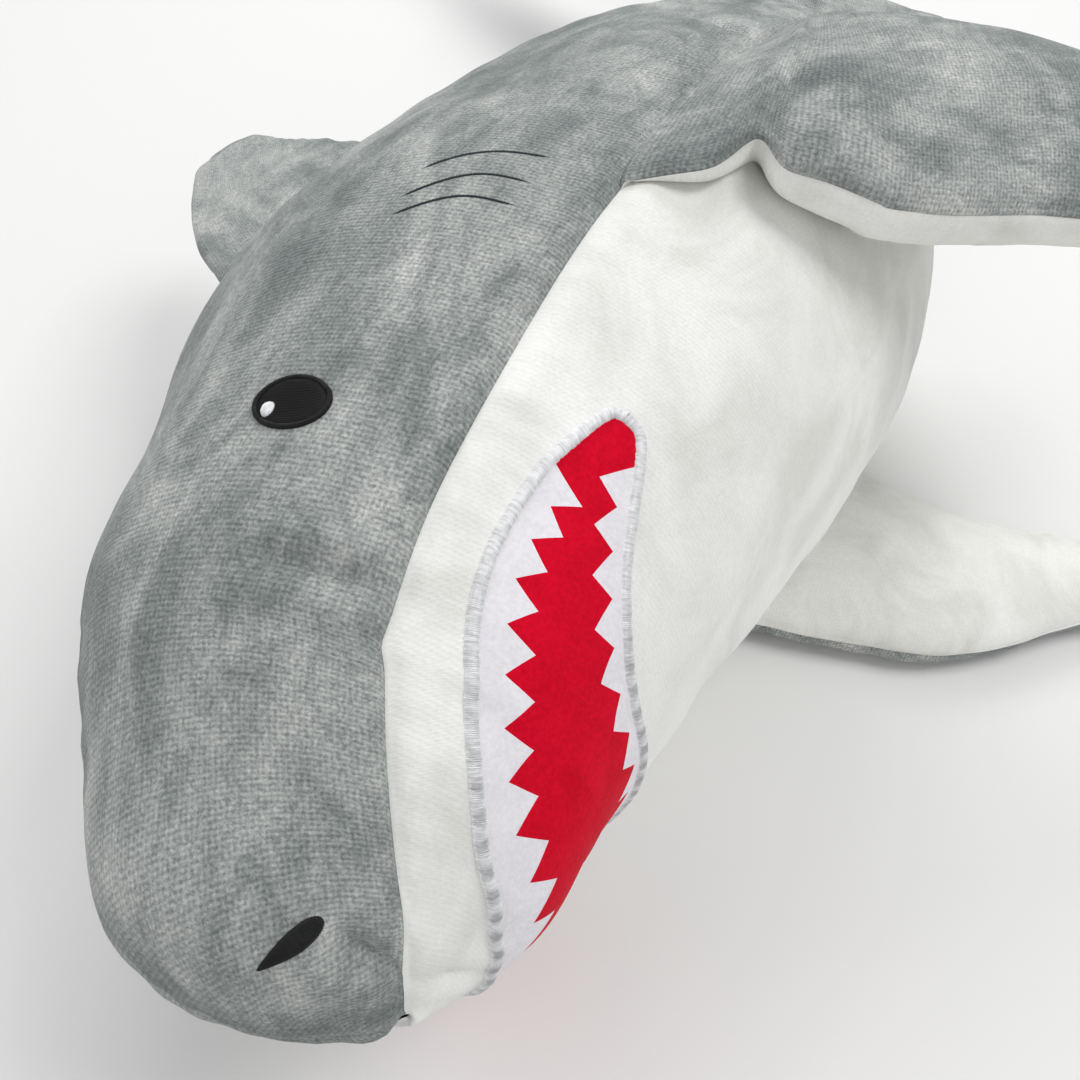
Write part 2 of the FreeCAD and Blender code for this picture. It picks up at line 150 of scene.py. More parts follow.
def nearest_on_line(points, line):
    """Distance from each point to a polyline, and how far along it the nearest place is."""
    best = np.full(points.shape[:-1], 1e9)
    where = np.zeros(points.shape[:-1])
    for number, (start, end) in enumerate(zip(line, line[1:])):
        run = end - start
        share = np.clip((points - start) @ run / (run @ run), 0, 1)
        gap = np.linalg.norm(points - start - share[..., None] * run, axis=-1)
        closer = gap < best
        best = np.where(closer, gap, best)
        where = np.where(closer, (number + share) / (len(line) - 1), where)
    return best, where


# ---- reading the CAD model

def surface_tree(meshes):
    """A search tree of these meshes' surfaces."""
    corners, faces = [], []
    for mesh in meshes:
        first = len(corners)
        corners += [vertex.co.copy() for vertex in mesh.vertices]
        faces += [[first + corner for corner in face.vertices] for face in mesh.polygons]
    return BVHTree.FromPolygons(corners, faces)


def node_tree(names):
    """A search tree of these CAD nodes' surfaces."""
    return surface_tree([frame["nodes"][name].data for name in names])


BACK_NODES = ["torso_back_panel_left", "torso_back_panel_right",
              "tail_back_panel_left", "tail_back_panel_right"]
BELLY_NODES = ["torso_belly_panel", "tail_belly_panel"]
back_tree = node_tree(BACK_NODES)
belly_tree = node_tree(BELLY_NODES)
FAR = 0.4


def reading(middle, direction):
    """From outside towards a middle point: the radius met, and whether it is the belly cloth."""
    start = Vector(middle + FAR * direction)
    found = []
    for tree in (back_tree, belly_tree):
        place = tree.ray_cast(start, Vector(-direction), FAR)
        found.append(FAR - place[3] if place[0] is not None else math.nan)
    return np.nanmax([*found, -1.0]), found[1] > found[0] or math.isnan(found[0])


# ---- the body's skin

FAN_MIDDLE = 60 * MM      # the rows fan out over the snout from here
FAN_ROWS = 26
ROW_STEP = 5.2 * MM
BODY_END = CAUDAL_HINGE - 1 * MM
BACK_COLUMNS = 24         # on each side, from the white seam to the ridge of the back
BELLY_COLUMNS = 44


def ring_direction(angle):
    """A direction round the body: 0 is its left side, 90 degrees its back."""
    angle = np.asarray(angle, float)[..., None]
    return np.cos(angle) * LEFT + np.sin(angle) * UP


def middle_line():
    """Stations along the body, and the height of its middle, between back and belly."""
    places = np.append(np.arange(FAN_MIDDLE, BODY_END, ROW_STEP), BODY_END)
    heights = [(reading(to_row((x, 0, 0)), UP)[0] - reading(to_row((x, 0, 0)), -UP)[0]) / 2
               for x in places]
    return places, smooth(middle_of_five(np.array(heights)), 6)


STRAIGHT, HEIGHTS = middle_line()


def middle_at(x):
    """The body's middle at one station or several."""
    x = np.asarray(x, float)
    return to_row(np.stack([x, 0 * x, np.interp(x, STRAIGHT, HEIGHTS)], -1))


def stations():
    """The middle point of each row, and how far its rays have opened out from the pole."""
    middles = middle_at(STRAIGHT)
    opening = np.append(np.arange(FAN_ROWS) / FAN_ROWS, np.ones(len(STRAIGHT)))
    return np.concatenate([np.repeat(middles[:1], FAN_ROWS, 0), middles]), opening


def halved(low, high, steps, is_high):
    """The place where a yes-or-no reading changes, closed in on by halving."""
    for _ in range(steps):
        between = (low + high) / 2
        if is_high(between):
            high = between
        else:
            low = between
    return low


def chin_ray(tilt):
    """A direction out of the snout, tilted that far down towards the chin."""
    return -math.cos(tilt) * TAILWARD - math.sin(tilt) * UP


def pole_direction(middle):
    """Towards the point of the chin where the two white seams meet the ridge seam."""
    return chin_ray(halved(0.0, math.radians(75), 24,
                           lambda tilt: reading(middle, chin_ray(tilt))[1]))


def opened(pole, angle, opening):
    """The ray that has opened from the pole towards a ring direction by that share."""
    ring = ring_direction(angle)
    gap = np.arccos(np.clip(ring @ pole, -1, 1))[..., None]
    return (np.sin((1 - opening) * gap) * pole + np.sin(opening * gap) * ring) / np.sin(gap)


def seam_angle(middle, pole, opening):
    """Where the grey cloth of the left side meets the white cloth, in one row."""
    edge = math.pi / 2 - 0.02
    return halved(-edge, edge, 14,
                  lambda angle: not reading(middle, opened(pole, angle, opening))[1])


def column_angles(seam, ridge):
    """The angle of every column in a row: back left, back right, then belly, from the seam on."""
    left = seam + (ridge - seam) * np.arange(BACK_COLUMNS) / BACK_COLUMNS
    right = ridge + (math.pi - seam - ridge) * np.arange(BACK_COLUMNS) / BACK_COLUMNS
    belly = math.pi - seam + (math.pi + 2 * seam) * np.arange(BELLY_COLUMNS) / BELLY_COLUMNS
    return np.concatenate([left, right, belly])


RIDGE_TWIST = math.radians(9)   # the snout's ridge seam is turned towards the floor


def body_skin():
    """The CAD body's outer surface as rows and columns that follow its seams."""
    middles, opening = stations()
    pole = pole_direction(middles[0])
    seams = np.zeros(len(opening))
    for row in range(3, len(opening)):
        seams[row] = seam_angle(middles[row], pole, opening[row])
    seams[:3] = seams[3]
    seams = smooth(middle_of_five(seams), 4)
    twist = RIDGE_TWIST * np.exp(-(np.arange(len(seams)) / (1.2 * FAN_ROWS)) ** 2)
    angles = np.array([column_angles(*pair) for pair in zip(seams, math.pi / 2 + twist)])
    directions = np.array([opened(pole, angles[row], max(opening[row], 0.004))
                           for row in range(len(opening))])
    radii = np.array([[reading(middles[row], direction)[0] for direction in directions[row]]
                      for row in range(len(opening))])
    for column in radii.T:
        met_rows = np.flatnonzero(column > 0)
        column[:] = np.interp(np.arange(len(column)), met_rows, column[met_rows])
    radii = smooth(middle_of_five(radii), 2)
    radii = smooth(radii.T, 2, closed=True).T
    radii[0] = radii[0].mean()
    points = middles[:, None] + radii[..., None] * directions
    return points


def ring_faces(rows, columns, closed=True):
    """Quads over a grid, joined round each row when closed."""
    faces = []
    for row in range(rows - 1):
        for column in range(columns if closed else columns - 1):
            after = (column + 1) % columns
            faces.append((row * columns + column, row * columns + after,
                          (row + 1) * columns + after, (row + 1) * columns + column))
    return faces


# ---- cloth simulation

STUFFING = {"quality": 4, "mass": 0.3, "tension_stiffness": 12, "compression_stiffness": 6,
            "bending_stiffness": 0.08, "use_pressure": True, "uniform_pressure_force": 3.0,
            "vertex_group_mass": "held"}
CLOTH_FRAMES = 18


def linked(name, data):
    """A new object of this data, in the scene."""
    made = bpy.data.objects.new(name, data)
    bpy.context.scene.collection.objects.link(made)
    return made


def inflate(points, held, swell, cap, rounds=8):
    """Fills a closed grid of cloth with stuffing: seams are held, cloth between them swells.

    The more rounds of smoothing, the firmer the filling and the fewer its wrinkles.
    """
    rows, columns = points.shape[:2]
    faces = ring_faces(rows, columns)
    faces += [tuple(range(columns)), tuple(reversed(range((rows - 1) * columns, rows * columns)))]
    mesh = bpy.data.meshes.new("trial")
    mesh.from_pydata(points.reshape(-1, 3).tolist(), [], [face[::-1] for face in faces])
    trial = linked("trial", mesh)
    group = trial.vertex_groups.new(name="held")
    group.add(np.flatnonzero(held).tolist(), 1.0, "REPLACE")
    cloth = trial.modifiers.new("Cloth", "CLOTH")
    for key, value in STUFFING.items():
        setattr(cloth.settings, key, value)
    cloth.settings.shrink_min = -swell
    cloth.settings.effector_weights.gravity = 0
    cloth.collision_settings.use_collision = False
    cloth.point_cache.frame_end = CLOTH_FRAMES
    scene = bpy.context.scene
    for number in range(1, CLOTH_FRAMES + 1):
        scene.frame_set(number)
    seen = trial.evaluated_get(bpy.context.evaluated_depsgraph_get())
    moved = np.array([vertex.co for vertex in seen.data.vertices]).reshape(points.shape)
    scene.frame_set(1)
    bpy.data.objects.remove(trial)
    shift = smooth(moved - points, rounds)
    shift = np.swapaxes(smooth(np.swapaxes(shift, 0, 1), rounds, closed=True), 0, 1)
    shift[held] = 0
    length = np.linalg.norm(shift, axis=-1, keepdims=True)
    return points + shift * np.minimum(1, cap / np.maximum(length, 1e-9))


# ---- cloth as meshes

def grid_normals(points, outward):
    """Unit normals of a grid, turned to the side that the outward vectors point to."""
    normal = unit(np.cross(np.gradient(points, axis=0), np.gradient(points, axis=1)))
    sign = np.sign(np.sum(normal * outward, axis=-1, keepdims=True))
    return normal * np.where(sign == 0, 1, sign)


def run_lengths(points, axis):
    """Distance walked along one axis of a grid or a line, from its start."""
    steps = np.linalg.norm(np.diff(points, axis=axis), axis=-1)
    start = np.zeros_like(np.take(steps, [0], axis=axis))
    return np.concatenate([start, np.cumsum(steps, axis=axis)], axis=axis)


def floored(points):
    """Cloth rests on the floor and never goes through it."""
    points = points.copy()
    points[..., 2] = np.maximum(points[..., 2], 0.2 * MM)
    return points


def cloth_piece(name, points, normals, cloth, weave):
    """A smooth piece over a grid; cloth is its material and a slot name, which is not used.

    Weave is the distance along the piece and across it, at each point.
    """
    material, slot = cloth
    length, across = np.broadcast_arrays(*weave)
    normals = np.broadcast_to(normals, points.shape)
    rows, columns = points.shape[:2]
    faces = ring_faces(rows, columns, closed=False)
    row, column = rows // 2, columns // 2
    here = points[row, column]
    facing = np.cross(points[row, column + 1] - here, points[row + 1, column] - here)
    if facing @ normals[row, column] < 0:
        faces = [face[::-1] for face in faces]
    mesh = bpy.data.meshes.new(name)
    mesh.from_pydata(points.reshape(-1, 3).tolist(), [], faces)
    mesh.polygons.foreach_set("use_smooth", [True] * len(mesh.polygons))
    for label, values in (("weave", np.stack([length, across, 0 * across], -1)),
                          ("rest", points)):
        layer = mesh.attributes.new(label, "FLOAT_VECTOR", "POINT")
        layer.data.foreach_set("vector", np.asarray(values, np.float32).ravel())
    mesh.materials.append(material)
    mesh.update()
    piece = linked(name, mesh)
    return piece


SEAM_DEPTH = 1.7 * MM
SEAM_WIDTH = 2.0 * MM
PUCKER = 0.5 * MM         # height of the small folds that run away from a seam
PUCKER_REACH = 9 * MM
POLE_REACH = 9 * MM       # near the chin's point, where the seams meet, they are shallow


def sewn(points, normals, edges, seed, family, depth=SEAM_DEPTH):
    """Cloth rolled in at its seams, with small puckers that run away from them.

    Panels of one family share their broad unevenness, so that they still meet at the seams.
    """
    moved = points
    for number, (gap, walked) in enumerate(edges):
        shallow = 1 - np.exp(-walked / POLE_REACH)
        roll = -depth * shallow * np.exp(-gap / SEAM_WIDTH)
        roll += 0.35 * depth * np.exp(-((gap - 3 * SEAM_WIDTH) / (2.2 * SEAM_WIDTH)) ** 2)
        line = np.stack([walked, 0.25 * gap], -1)
        waves = ripple(line, 9 * MM, seed + number) + 0.6 * ripple(line, 22 * MM, seed + 7 + number)
        fade = shallow * np.exp(-gap / PUCKER_REACH) * (1 - np.exp(-(gap / SEAM_WIDTH) ** 2))
        moved = moved + (roll + PUCKER * waves * fade)[..., None] * normals
    soft = 0.7 * ripple(points, 62 * MM, family) + 0.22 * ripple(points, 24 * MM, family + 1)
    return moved + (soft * MM)[..., None] * normals


def seam_normals(points, arms, lean, gap):
    """A panel's normals; at its seams both panels' cloth moves straight in or out."""
    normals = grid_normals(points, arms + lean)
    share = np.exp(-(gap / (1.5 * MM)) ** 2)[..., None]
    return unit(normals * (1 - share) + unit(arms) * share)


def crowded(count):
    """Places from 0 to 1, closer together near both ends, where the seams are."""
    even = np.linspace(0, 1, count)
    return even - 0.78 * np.sin(2 * math.pi * even) / (2 * math.pi)


def sewn_panel(name, spread, places, cloth, seed, family, depth=SEAM_DEPTH, lean=0.0,
               folded=False):
    """One panel of closed rings, between two seams, rolled in where it is sewn.

    Lean says which side is out on a flat fin; folded cloth also gets the body's creases.
    """
    points = np.swapaxes(along(np.swapaxes(spread, 0, 1), places, closed=True), 0, 1)
    arms = points - spread.mean(axis=1, keepdims=True)
    across = run_lengths(points, 1)
    back = across[:, -1:] - across
    length = run_lengths(points, 0).mean(axis=1, keepdims=True) + 0 * across
    normals = seam_normals(points, arms, lean, np.minimum(across, back))
    shaped = sewn(points, normals, ((across, length), (back, length)), seed, family, depth)
    if folded:
        shaped = creased(shaped, normals)
    return cloth_piece(name, floored(shaped), normals, cloth, (length, across))


# ---- materials

def shader(name, color, roughness, **sockets):
    """A node material with its Principled shader set up; returns both and the node tree."""
    material = bpy.data.materials.new(name)
    material.use_nodes = True
    surface = material.node_tree.nodes["Principled BSDF"]
    surface.inputs["Base Color"].default_value = (*color, 1)
    surface.inputs["Roughness"].default_value = roughness
    for socket, value in sockets.items():
        surface.inputs[socket.replace("_", " ")].default_value = value
    return material, surface, material.node_tree


def node(tree, kind, inputs=(), **settings):
    """A shader node with its settings, values and links."""
    made = tree.nodes.new(kind)
    for key, value in settings.items():
        setattr(made, key, value)
    for socket, value in dict(inputs).items():
        if isinstance(value, bpy.types.NodeSocket):
            tree.links.new(value, made.inputs[socket])
        else:
            made.inputs[socket].default_value = value
    return made


def attribute(tree, label):
    """A per-point vector that the mesh carries."""
    return node(tree, "ShaderNodeAttribute", attribute_name=label).outputs["Vector"]


def noise(tree, vector, scale, detail=2.0, roughness=0.5, distortion=0.0):
    """Soft random grey values of about the given number of patches to the metre."""
    return node(tree, "ShaderNodeTexNoise", {"Vector": vector, "Scale": scale, "Detail": detail,
                                             "Roughness": roughness,
                                             "Distortion": distortion}).outputs["Fac"]


def ramp(tree, value, stops):
    """Colours by value, through colour stops of (place, colour)."""
    made = node(tree, "ShaderNodeValToRGB", {"Fac": value})
    elements = made.color_ramp.elements
    while len(elements) < len(stops):
        elements.new(0.5)
    for element, (place, color) in zip(elements, stops):
        element.position = place
        element.color = (*color, 1)
    return made.outputs["Color"]


def tinted(tree, tone, share, value, stops):
    """A tone multiplied, by a share, with the colours that the stops give to a value."""
    return node(tree, "ShaderNodeMix", {"Factor": share, 6: tone, 7: ramp(tree, value, stops)},
                data_type="RGBA", blend_type="MULTIPLY").outputs[2]


def maths(tree, operation, first, second):
    """One arithmetic step on two values."""
    return node(tree, "ShaderNodeMath", {0: first, 1: second}, operation=operation).outputs[0]


def summed(tree, first, first_share, second, second_share):
    """The sum of two values, each times its share."""
    return maths(tree, "ADD", maths(tree, "MULTIPLY", first, first_share),
                 maths(tree, "MULTIPLY", second, second_share))


def stretched(tree, vector, scale):
    """Coordinates scaled along their own axes."""
    return node(tree, "ShaderNodeMapping", {"Vector": vector, "Scale": scale}).outputs["Vector"]


def bands(tree, weave, width, way, distortion, **inputs):
    """Waves across the weave, one band to each width."""
    inputs = {"Vector": weave, "Scale": math.pi / (10 * width), "Distortion": distortion,
              **{key.replace("_", " "): value for key, value in inputs.items()}}
    return node(tree, "ShaderNodeTexWave", inputs, bands_direction=way).outputs["Fac"]


def bumped(tree, surface, height, strength, distance):
    """Gives a surface the relief of a height."""
    bump = node(tree, "ShaderNodeBump", {"Strength": strength, "Distance": distance,
                                         "Height": height})
    tree.links.new(bump.outputs["Normal"], surface.inputs["Normal"])


RIB = 1.25 * MM
THREAD = 0.42 * MM


def pile_bump(tree, surface, weave, rest, strength):
    """The relief of short brushed pile over a knitted ground with fine ribs."""
    ribs = summed(tree, bands(tree, weave, RIB, "X", 2.2, Detail=2.0, Detail_Scale=2.0), 0.6,
                  bands(tree, weave, RIB, "Y", 2.2, Detail=2.0, Detail_Scale=2.0), 0.4)
    tufts = noise(tree, rest, 950, 5.0, 0.82)
    clumps = noise(tree, rest, 320, 2.0, 0.6)
    pile = summed(tree, tufts, 0.55, clumps, 0.5)
    height = maths(tree, "ADD", pile, maths(tree, "MULTIPLY", ribs, 0.22))
    bumped(tree, surface, height, strength, 0.9 * MM)
    return ribs, tufts


def mottled(tree, weave, rest):
    """Pile brushed this way and that, in patches and short streaks."""
    brushed = noise(tree, stretched(tree, rest, (1.0, 0.62, 1.0)), 26, 5.0, 0.6, 1.3)
    streaks = noise(tree, stretched(tree, weave, (0.45, 1.0, 1.0)), 95, 4.0, 0.6, 0.8)
    return summed(tree, brushed, 0.66, streaks, 0.34)


def shadowed(tree, _weave, rest):
    """Pile with faint broad shadows."""
    return noise(tree, rest, 26, 4.0, 0.6, 0.9)


def plush(name, color, relief, brushed, tones, painted_tuft_shading, painted_rib_shading, **sockets):
    """Velboa: its tones follow how it is brushed, and its tufts and ribs tint them.

    The last two hold painted light and shade that follow the relief: darker in the hollows between
    the tufts and in the rib grooves, lighter on their tops. Each holds a share and the colour
    stops.
    """
    material, surface, tree = shader(name, color, 0.9, **sockets)
    weave, rest = attribute(tree, "weave"), attribute(tree, "rest")
    ribs, tufts = pile_bump(tree, surface, weave, rest, relief)
    tone = ramp(tree, brushed(tree, weave, rest), tones)
    # Painted light and shade: the tone goes darker where the tufts and ribs of the relief are low
    # and lighter where they are high.
    tone = tinted(tree, tone, painted_tuft_shading[0], tufts, painted_tuft_shading[1])
    tone = tinted(tree, tone, painted_rib_shading[0], ribs, painted_rib_shading[1])
    tree.links.new(tone, surface.inputs["Base Color"])
    return material


def printed_cloth(name, color, painted_hollow_shade):
    """Smooth short-pile cloth printed in one colour."""
    material, surface, tree = shader(name, color, 0.9, Sheen_Weight=0.03, Sheen_Roughness=0.5,
                                     Specular_IOR_Level=0.06)
    rest = attribute(tree, "rest")
    share = summed(tree, noise(tree, rest, 900, 3.0, 0.7), 0.6,
                   noise(tree, rest, 120, 3.0, 0.6), 0.4)
    # Painted shade: the same values raise the relief, so the cloth takes the darker colour where it
    # is low.
    tree.links.new(ramp(tree, share, [(0.38, painted_hollow_shade), (0.6, color)]), surface.inputs["Base Color"])
    bumped(tree, surface, share, 0.3, 0.5 * MM)
    return material


def satin_thread(name, color, roughness, strand=THREAD, gloss=0.6):
    """Shiny embroidery thread; its strands run across the weave's first direction."""
    material, surface, tree = shader(name, color, roughness, Specular_IOR_Level=gloss,
                                     Sheen_Weight=0.25 * gloss, Anisotropic=0.5)
    weave = attribute(tree, "weave")
    strands = bands(tree, weave, strand, "X", 0.6, Detail=1.0)
    uneven = noise(tree, stretched(tree, weave, (1.0, 0.15, 1.0)), 1500, 2.0, 0.6)
    height = maths(tree, "ADD", maths(tree, "MULTIPLY", strands, 0.5), uneven)
    bumped(tree, surface, height, 0.5, 0.25 * MM)
    # Painted shade: uneven also raises the thread, so its colour is darker where the thread is low.
    dark = tuple(0.72 * part for part in color)
    tone = ramp(tree, uneven, [(0.35, dark), (0.62, color)])
    tree.links.new(tone, surface.inputs["Base Color"])
    return material


# Each kind of cloth is a material and its slot.
# In both plushes the two (share, stops) pairs after the tones are painted light and shade: darker
# in the hollows of the pile's tufts and ribs, lighter on their tops.
GREY = (plush("grey plush", (0.27, 0.31, 0.32), 0.8, mottled,
              [(0.36, (0.175, 0.192, 0.188)), (0.46, (0.262, 0.280, 0.273)),
               (0.54, (0.365, 0.378, 0.367)), (0.64, (0.500, 0.500, 0.482))],
              (0.75, [(0.37, (0.46, 0.48, 0.48)), (0.63, (1.44, 1.44, 1.42))]),
              (0.6, [(0.1, (0.66, 0.68, 0.68)), (0.8, (1.22, 1.22, 1.21))]),
              Sheen_Weight=0.22, Sheen_Roughness=0.4, Sheen_Tint=(0.80, 0.84, 0.84, 1),
              Specular_IOR_Level=0.12), "grey_plush")
WHITE = (plush("white plush", (0.80, 0.79, 0.75), 0.32, shadowed,
               [(0.35, (0.70, 0.695, 0.655)), (0.52, (0.79, 0.785, 0.75)),
                (0.68, (0.85, 0.845, 0.815))],
               (0.5, [(0.34, (0.86, 0.86, 0.85)), (0.6, (1.03, 1.03, 1.03))]),
               (0.4, [(0.1, (0.95, 0.95, 0.95)), (0.8, (1.02, 1.02, 1.02))]),
               Sheen_Weight=0.3, Sheen_Roughness=0.5, Specular_IOR_Level=0.1), "white_plush")
# The second colour of each print is painted shade for the hollows of its relief.
RED_PRINT = (printed_cloth("mouth red", (0.66, 0.002, 0.022), (0.52, 0.001, 0.014)),
             "printed_mouth_cloth")
WHITE_PRINT = (printed_cloth("mouth white", (0.80, 0.77, 0.80), (0.70, 0.67, 0.71)),
               "printed_mouth_cloth")
SILVER = satin_thread("silver satin", (0.93, 0.93, 0.94), 0.32), "silver_satin_thread"
BLACK = satin_thread("black satin", (0.007, 0.007, 0.008), 0.6, gloss=0.25), "black_satin_thread"
GLINT = satin_thread("white satin", (0.86, 0.86, 0.88), 0.35), "white_thread"
DARK_THREAD = (satin_thread("dark thread", (0.03, 0.034, 0.04), 0.6, 0.5 * MM, gloss=0.2),
               "dark_thread")


# ---- body panels

FINE_ROW = 1.6 * MM
TAIL_END = [(0.89, 4), (0.72, 8), (0.52, 12), (0.30, 15), (0.05, 17)]   # girth, mm tailward

CREASES = [  # points tailward, left, up; depth; half width
    ([(68, 58, 46), (68.5, 60.4, 40.1), (68.6, 64.1, 28.1), (70.1, 64, 16.3)], 3.8, 2.6),
    ([(13, 36, 2), (13.2, 31.7, -1.1), (16.1, 19.2, -15.9)], 3.4, 3.0),
    ([(15.7, 18.4, -16.7), (21, 13, -25), (25.3, 8.1, -33.6)], 1.5, 2.2),
    ([(313, 88.6, 7.4), (305, 92.4, -2.9), (293, 95.9, -11.3)], 2.2, 3.0),
    ([(281, 92.8, 15.4), (271, 97.4, 3.7), (272, 98.3, -7.4)], 2.4, 3.0),
    ([(251, 96.5, 18.6), (249, 99.3, 6.6), (249, 99.5, -2.7)], 2.0, 3.0),
]


def creased(points, normals):
    """Folds pressed into the cloth along short lines, each with a fuller lip beside it."""
    moved = points
    for line, depth, width in CREASES:
        line = to_row(np.array(line, float) * MM)
        gap, share = nearest_on_line(points, line)
        fade = np.sin(np.clip(share, 0.02, 0.98) * math.pi) ** 0.6
        dent = -depth * np.exp(-gap / (0.7 * width * MM))
        lip = 0.5 * depth * np.exp(-((gap / MM - 2.4 * width) / (1.6 * width)) ** 2)
        moved = moved + ((dent + lip) * fade * MM)[..., None] * normals
    return moved


def stuffed(piece, nodes):
    """A padded panel, its transform baked in, that stands for these CAD nodes, which are hidden."""
    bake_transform(piece)
    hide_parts(*nodes)


def body_panels(skin):
    """Two grey back panels and one white belly panel, cut at the seams of the skin."""
    lengths = run_lengths(skin, 0).mean(axis=1)
    fine = np.interp(np.arange(0, lengths[-1], FINE_ROW), lengths, np.arange(len(skin)))
    spread = along(skin, fine)
    tail_middle = spread[-1].mean(axis=0)
    closing = [tail_middle + share * (spread[-1] - tail_middle) + past * MM * TAILWARD
               for share, past in TAIL_END]
    spread = np.concatenate([spread, closing])
    jobs = (("back_panel_left", 0, BACK_COLUMNS, 84, GREY, ["torso_stuffing", "tail_stuffing"]),
            ("back_panel_right", BACK_COLUMNS, BACK_COLUMNS, 84, GREY, []),
            ("belly_panel", 2 * BACK_COLUMNS, BELLY_COLUMNS, 128, WHITE, []))
    made = []
    for number, (name, first, count, fineness, cloth, filling) in enumerate(jobs):
        piece = sewn_panel(name, spread, first + count * crowded(fineness), cloth,
                           100 + 10 * number, 150, folded=True)
        stuffed(piece,
                [f"torso_{name}", f"tail_{name}", *filling])
        made.append(piece.data)
    return made


# ---- fins

FIN_SEAM_DEPTH = 0.9 * MM
FIN_ROUNDING = 16 * MM    # a fin's closed end rounds off over this length


def rounded(gap):
    """How full a fin is at this distance from its closed end."""
    return np.minimum(1, 1.25 * np.sqrt(np.clip(gap / FIN_ROUNDING, 0, 1)))


def fin_grid(table, steps, ring, both_closed=False, under=0.9, belly=1.0):
    """A padded fin's rings: distance along its length, place on its chord, and thickness.

    The lower the value of under, the fuller the edges are below the seam; belly thickens
    that side.
    """
    table = np.array(table, float) * MM
    first, last = table[0, 0], table[-1, 0]
    smooth_table = along(table, np.linspace(0, len(table) - 1, 200))
    share = np.sin(np.linspace(0, math.pi / 2, steps))
    if both_closed:
        share = (1 - np.cos(np.linspace(0, math.pi, steps))) / 2
    out = first + share * (last - first)
    front, rear, thick = (np.interp(out, smooth_table[:, 0], smooth_table[:, column])
                          for column in (1, 2, 3))
    closing = rounded(last - out)
    if both_closed:
        closing = closing * rounded(out - first)
    angle = 2 * math.pi * np.arange(ring) / ring
    half = (rear - front) / 2 * np.maximum(closing, 0.02)
    chord = (front + rear)[:, None] / 2 - half[:, None] * np.cos(angle)
    bulge = np.abs(np.sin(angle))
    proud = np.where(np.sin(angle) > 0, bulge ** 0.9, -belly * bulge ** under)
    height = (thick * closing)[:, None] * proud
    return np.broadcast_to(out[:, None], chord.shape), chord, height


def placed(grid, origin, chord_axis, out_axis, face_axis, pivot=0.0, sweep_deg=0.0):
    """A fin's rings stood in the row's frame, swept back in the fin's own plane."""
    out, chord, height = grid
    sweep = math.radians(sweep_deg)
    chord = chord - pivot
    turned_chord = chord * math.cos(sweep) + out * math.sin(sweep)
    turned_out = out * math.cos(sweep) - chord * math.sin(sweep)
    return (origin + turned_chord[..., None] * chord_axis + turned_out[..., None] * out_axis
            + height[..., None] * face_axis)


def fin_panels(fin, faces, cloths, rings, face_axis, seed, foot_rows=1):
    """The two panels of a fin, stuffed by simulation and sewn together at their edge.
    """
    rows, ring = rings.shape[:2]
    held = np.zeros((rows, ring), bool)
    held[:, [0, ring // 2]] = True
    held[-1] = held[:foot_rows] = True
    rings = inflate(rings, held, 0.01, 4 * MM, rounds=4)
    spread = along(rings, np.linspace(0, rows - 1, 3 * rows))
    for side, (face, cloth) in enumerate(zip(faces, cloths)):
        piece = sewn_panel(f"{fin}_{face}_panel", spread, ring / 2 * (side + crowded(64)),
                           cloth, seed + 3 * side, seed, FIN_SEAM_DEPTH,
                           lean=(1 - 2 * side) * 12 * MM * face_axis)
        nodes = [f"{fin}_fin_{face}_panel"] + ([] if side else [f"{fin}_fin_stuffing"])
        stuffed(piece, nodes)


PECTORAL = [  # distance out, front edge, rear edge, half thickness, in mm
    (0, 186, 304, 5), (30, 190, 309, 12), (60, 195, 311, 14.5), (100, 204, 306, 15),
    (141, 211, 298, 14), (176, 220, 296, 12), (201, 235, 298, 10), (224, 256, 303, 8),
    (248, 274, 306, 4)]
LEFT_PECTORAL = [
    (47, 195, 295, 14), (64, 198, 302, 14.5), (90, 206, 306, 15), (107, 210, 304, 15),
    (141, 217, 297, 14), (176, 225, 295, 12), (201, 238, 298, 10), (224, 257, 303, 8),
    (248, 274, 306, 4)]
DORSAL = [(-2, -2, 126, 7), (20, 15, 124, 10), (40, 29, 123, 10), (60, 47, 122, 9),
          (76, 65, 122, 8), (88, 82, 122, 6), (97, 95, 122, 4)]
CAUDAL = [(-252, 686, 708, 4), (-215, 660, 703, 8), (-170, 628, 688, 11), (-110, 594, 664, 13),
          (-50, 568, 647, 14), (-5, 556, 641, 14), (40, 566, 645, 14), (90, 594, 660, 13),
          (140, 634, 688, 11), (175, 670, 716, 8), (197, 700, 732, 4)]
PECTORAL_MIDDLE = 243 * MM
LEFT_LEAN = math.radians(6)
LEFT_SWEEP = 14
RIGHT_SWEEP = -6
RIGHT_PINNED = 96 * MM    # length of the right pectoral's foot that lies under the body
DORSAL_FOOT = 5 * MM
DORSAL_MIDDLE = 62 * MM
DORSAL_DROOP = math.radians(25)


ROOT_FRONT, ROOT_REAR = 186 * MM, 321 * MM    # the left fin's root on the side seam
ROOT_HALF = 4 * MM        # from the seam to the top panel's and the under panel's edges
ROOT_ROWS = 26
NOTCH_AT, NOTCH_SPAN, NOTCH_DEPTH = 0.43, 0.085, 17 * MM


LEFT_OUT = math.sin(LEFT_LEAN) * LEFT - math.cos(LEFT_LEAN) * UP
LEFT_FACE = math.cos(LEFT_LEAN) * LEFT + math.sin(LEFT_LEAN) * UP
ROOT_FULL, ROOT_LIFT = 4.5 * MM, 7 * MM       # how far the root's cloth and its front swell
VALLEY_AT, VALLEY_SPAN, VALLEY_DEPTH = NOTCH_AT + 0.03, 0.07, 5 * MM
VALLEY_ANGLE, VALLEY_WIDTH = 0.75, 0.5        # round the ring, in radians from its front


